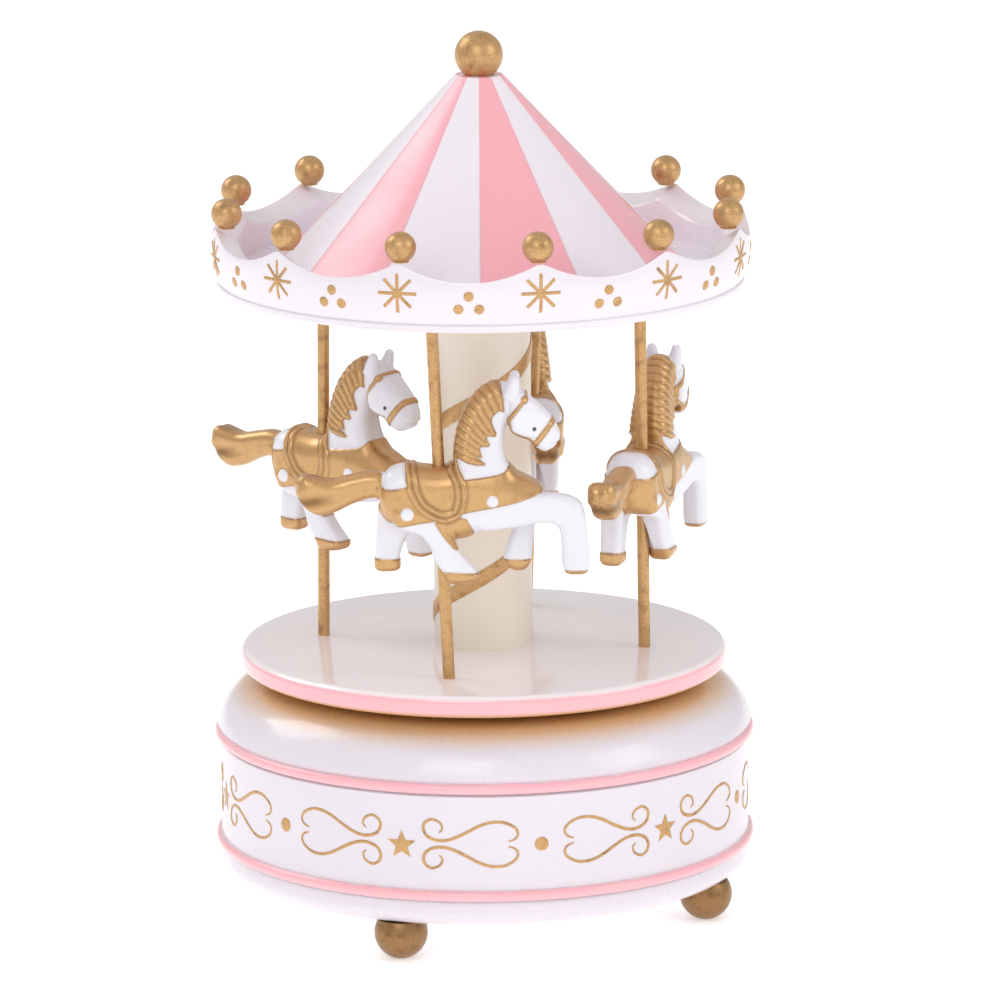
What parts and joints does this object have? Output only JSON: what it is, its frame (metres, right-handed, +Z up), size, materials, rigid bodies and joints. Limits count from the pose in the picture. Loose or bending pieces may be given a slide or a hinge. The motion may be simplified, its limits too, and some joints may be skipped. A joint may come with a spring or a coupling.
{
  "type": "carousel music box",
  "caption": "Carousel music box: a round base on ball feet holds a pinned-cylinder movement that turns a deck with a column, horses on poles and a scalloped canopy.",
  "frame": {"origin": "on the carousel's axis, in the plane of the four feet's contact faces", "axes": "+Z up along the carousel's axis, -Y to the front as seen in its usual view, +X to the right"},
  "size_m": [0.11, 0.1161, 0.18],
  "materials": {
    "white_plastic": "gloss, lavender white",
    "pink_plastic": "gloss, pale pink and white sectors",
    "cream_plastic": "satin cream",
    "turntable_plastic": "high gloss, greyish pink",
    "gold_paint": "fine metallic gold paint",
    "steel": "satin",
    "brass": "satin",
    "spring_steel": "blued",
    "nylon": "matte"
  },
  "bodies": {
    "base": {"base_shell": "white_plastic", "bottom_cover": "white_plastic", "ball_feet": "gold_paint", "cover_screws": "steel", "deck_washer": "nylon", "bedplate": "steel", "bedplate_screws": "steel", "spring_barrel": "brass", "mainspring": "spring_steel", "cylinder_bracket": "steel", "governor_cock": "steel", "governor_frame": "steel", "comb": "spring_steel", "comb_block": "steel", "comb_screws": "steel"},
    "carousel": {"drive_arbor": "steel", "crown_wheel": "brass", "turntable": "turntable_plastic", "turntable_hub": "brass", "center_column": "cream_plastic", "pole_1": "gold_paint", "pole_2": "gold_paint", "pole_3": "gold_paint", "pole_4": "gold_paint", "canopy_rim": "white_plastic", "canopy_roof": "pink_plastic", "finial_ball": "gold_paint", "rim_balls": "gold_paint"},
    "cylinder": {"pinned_cylinder": "brass", "cylinder_arbor": "steel", "cylinder_pinion": "brass", "cylinder_gear": "brass"},
    "worm_wheel": {"governor_pinion": "brass", "worm_wheel": "brass", "worm_wheel_arbor": "steel"},
    "governor": {"governor_worm": "brass", "governor_arbor": "steel", "governor_fan": "steel"},
    "horse_1": {"horse_1": "white_plastic"},
    "horse_2": {"horse_2": "white_plastic"},
    "horse_3": {"horse_3": "white_plastic"},
    "horse_4": {"horse_4": "white_plastic"}
  },
  "joints": [
    {"name": "carousel_spin", "type": "hinge", "parent": "base", "child": "carousel", "pos_m": [0, 0, 0.05], "axis": [0, 0, 1], "continuous": true},
    {"name": "cylinder_spin", "type": "hinge", "parent": "base", "child": "cylinder", "pos_m": [0.025, 0, 0.0218], "axis": [1, 0, 0], "continuous": true},
    {"name": "worm_wheel_spin", "type": "hinge", "parent": "base", "child": "worm_wheel", "pos_m": [0.035, -0.009, 0.0218], "axis": [1, 0, 0], "continuous": true},
    {"name": "governor_spin", "type": "hinge", "parent": "base", "child": "governor", "pos_m": [0.0372, -0.0148, 0.025], "axis": [0, 0, 1], "continuous": true},
    {"name": "horse_1_swivel", "type": "hinge", "parent": "carousel", "child": "horse_1", "pos_m": [-0.00871, -0.03211, 0.0982], "axis": [-0.0394, 0.0103, 0.9992], "range_deg": [-3, 45]},
    {"name": "horse_2_swivel", "type": "hinge", "parent": "carousel", "child": "horse_2", "pos_m": [0.03226, -0.00812, 0.0962], "axis": [-0.0097, -0.0395, 0.9992], "range_deg": [-1, 24]},
    {"name": "horse_3_swivel", "type": "hinge", "parent": "carousel", "child": "horse_3", "pos_m": [0.0107, 0.0315, 0.0994], "axis": [0.0386, -0.0127, 0.9992], "range_deg": [-1, 60]},
    {"name": "horse_4_swivel", "type": "hinge", "parent": "carousel", "child": "horse_4", "pos_m": [-0.03228, 0.00803, 0.0967], "axis": [0.0096, 0.0395, 0.9992], "range_deg": [-60, 3]}
  ],
  "couplings": [
    {"joint": "cylinder_spin", "follows": "carousel_spin", "ratio": -2.5},
    {"joint": "worm_wheel_spin", "follows": "carousel_spin", "ratio": 10},
    {"joint": "governor_spin", "follows": "carousel_spin", "ratio": 100}
  ]
}
